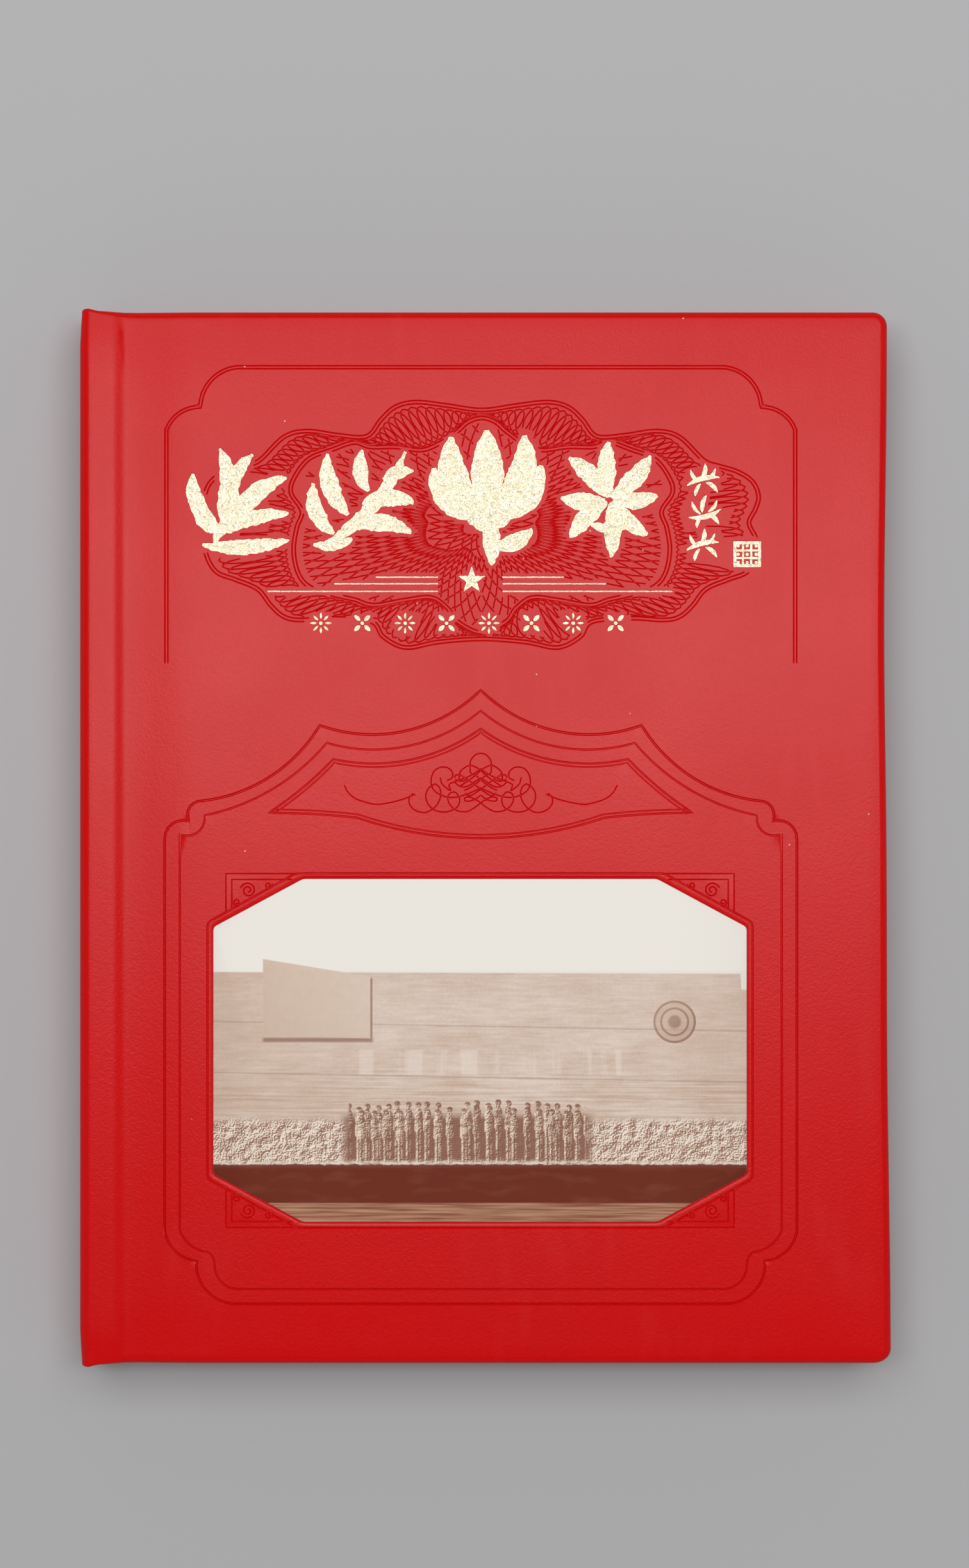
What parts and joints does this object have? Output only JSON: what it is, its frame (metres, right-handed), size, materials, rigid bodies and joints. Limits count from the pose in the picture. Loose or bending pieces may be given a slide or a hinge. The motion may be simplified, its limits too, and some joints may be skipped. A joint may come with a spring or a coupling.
{
  "type": "stamp album",
  "caption": "Padded leatherette stamp album with a window print on the front cover, a flexing spine and hinged stock leaves with clear pockets between interleaves.",
  "frame": {"origin": "centre of the underside of the closed album", "axes": "+X from the spine to the fore-edge, +Y from tail to head, +Z from the back cover to the front cover"},
  "size_m": [0.2344, 0.307, 0.0316],
  "materials": {
    "red_leatherette": "soft matte grain, pressed ornament, gold foil",
    "white_foam": "matte",
    "greyboard": "matte greyboard",
    "cream_endpaper": "matte paper",
    "sepia_print": "semi-matte printed paper",
    "black_card": "matte card",
    "clear_film": "clear glossy film",
    "glassine": "translucent paper",
    "black_linen": "woven book cloth",
    "red_band": "woven band"
  },
  "bodies": {
    "back_cover": {"back_cover_skin": "red_leatherette", "back_cover_padding": "white_foam", "back_cover_board": "greyboard", "back_cover_pastedown": "cream_endpaper", "back_cover_joint": "red_leatherette"},
    "spine": {"spine_skin": "red_leatherette", "spine_board": "greyboard", "spine_liner": "cream_endpaper", "binding_back": "black_linen", "head_band": "red_band", "tail_band": "red_band"},
    "front_cover": {"front_cover_skin": "red_leatherette", "front_cover_padding": "white_foam", "front_cover_board": "greyboard", "front_cover_pastedown": "cream_endpaper", "front_cover_joint": "red_leatherette", "window_print": "sepia_print"},
    "leaf_1": {"leaf_1_card": "black_card", "leaf_1_pockets_under": "clear_film", "leaf_1_pockets_over": "clear_film", "leaf_1_hinge_linen": "black_linen", "leaf_1_interleaf": "glassine", "back_flyleaf": "cream_endpaper"},
    "leaf_2": {"leaf_2_card": "black_card", "leaf_2_pockets_under": "clear_film", "leaf_2_pockets_over": "clear_film", "leaf_2_hinge_linen": "black_linen", "leaf_2_interleaf": "glassine"},
    "leaf_3": {"leaf_3_card": "black_card", "leaf_3_pockets_under": "clear_film", "leaf_3_pockets_over": "clear_film", "leaf_3_hinge_linen": "black_linen", "leaf_3_interleaf": "glassine"},
    "leaf_4": {"leaf_4_card": "black_card", "leaf_4_pockets_under": "clear_film", "leaf_4_pockets_over": "clear_film", "leaf_4_hinge_linen": "black_linen", "leaf_4_interleaf": "glassine"},
    "leaf_5": {"leaf_5_card": "black_card", "leaf_5_pockets_under": "clear_film", "leaf_5_pockets_over": "clear_film", "leaf_5_hinge_linen": "black_linen", "leaf_5_interleaf": "glassine"},
    "leaf_6": {"leaf_6_card": "black_card", "leaf_6_pockets_under": "clear_film", "leaf_6_pockets_over": "clear_film", "leaf_6_hinge_linen": "black_linen", "leaf_6_interleaf": "glassine"},
    "leaf_7": {"leaf_7_card": "black_card", "leaf_7_pockets_under": "clear_film", "leaf_7_pockets_over": "clear_film", "leaf_7_hinge_linen": "black_linen", "leaf_7_interleaf": "glassine"},
    "leaf_8": {"leaf_8_card": "black_card", "leaf_8_pockets_under": "clear_film", "leaf_8_pockets_over": "clear_film", "leaf_8_hinge_linen": "black_linen", "front_flyleaf": "cream_endpaper"}
  },
  "joints": [
    {"name": "spine_hinge", "type": "hinge", "parent": "back_cover", "child": "spine", "pos_m": [-0.11634, 0, 0.00086], "axis": [0, -1, 0], "range_deg": [0, 90], "deforming": ["back_cover_joint"]},
    {"name": "front_cover_hinge", "type": "hinge", "parent": "spine", "child": "front_cover", "pos_m": [-0.11634, 0, 0.0307], "axis": [0, -1, 0], "range_deg": [0, 90], "deforming": ["front_cover_joint"]},
    {"name": "leaf_1_hinge", "type": "hinge", "parent": "spine", "child": "leaf_1", "pos_m": [-0.10142, 0, 0.01578], "axis": [0, -1, 0], "range_deg": [-90, 0], "deforming": ["leaf_1_hinge_linen"]},
    {"name": "leaf_2_hinge", "type": "hinge", "parent": "spine", "child": "leaf_2", "pos_m": [-0.10142, 0, 0.01578], "axis": [0, -1, 0], "range_deg": [-90, 0], "deforming": ["leaf_2_hinge_linen"]},
    {"name": "leaf_3_hinge", "type": "hinge", "parent": "spine", "child": "leaf_3", "pos_m": [-0.10142, 0, 0.01578], "axis": [0, -1, 0], "range_deg": [-90, 0], "deforming": ["leaf_3_hinge_linen"]},
    {"name": "leaf_4_hinge", "type": "hinge", "parent": "spine", "child": "leaf_4", "pos_m": [-0.10142, 0, 0.01578], "axis": [0, -1, 0], "range_deg": [-90, 0], "deforming": ["leaf_4_hinge_linen"]},
    {"name": "leaf_5_hinge", "type": "hinge", "parent": "spine", "child": "leaf_5", "pos_m": [-0.10142, 0, 0.01578], "axis": [0, -1, 0], "range_deg": [0, 90], "deforming": ["leaf_5_hinge_linen"]},
    {"name": "leaf_6_hinge", "type": "hinge", "parent": "spine", "child": "leaf_6", "pos_m": [-0.10142, 0, 0.01578], "axis": [0, -1, 0], "range_deg": [0, 90], "deforming": ["leaf_6_hinge_linen"]},
    {"name": "leaf_7_hinge", "type": "hinge", "parent": "spine", "child": "leaf_7", "pos_m": [-0.10142, 0, 0.01578], "axis": [0, -1, 0], "range_deg": [0, 90], "deforming": ["leaf_7_hinge_linen"]},
    {"name": "leaf_8_hinge", "type": "hinge", "parent": "spine", "child": "leaf_8", "pos_m": [-0.10142, 0, 0.01578], "axis": [0, -1, 0], "range_deg": [0, 90], "deforming": ["leaf_8_hinge_linen"]}
  ],
  "couplings": [
    {"joint": "leaf_1_hinge", "follows": "spine_hinge", "ratio": -0.98889},
    {"joint": "leaf_2_hinge", "follows": "spine_hinge", "ratio": -0.96111},
    {"joint": "leaf_3_hinge", "follows": "spine_hinge", "ratio": -0.92778},
    {"joint": "leaf_4_hinge", "follows": "spine_hinge", "ratio": -0.88889},
    {"joint": "leaf_5_hinge", "follows": "front_cover_hinge", "ratio": 0.88889},
    {"joint": "leaf_6_hinge", "follows": "front_cover_hinge", "ratio": 0.92778},
    {"joint": "leaf_7_hinge", "follows": "front_cover_hinge", "ratio": 0.96111},
    {"joint": "leaf_8_hinge", "follows": "front_cover_hinge", "ratio": 0.98889}
  ]
}
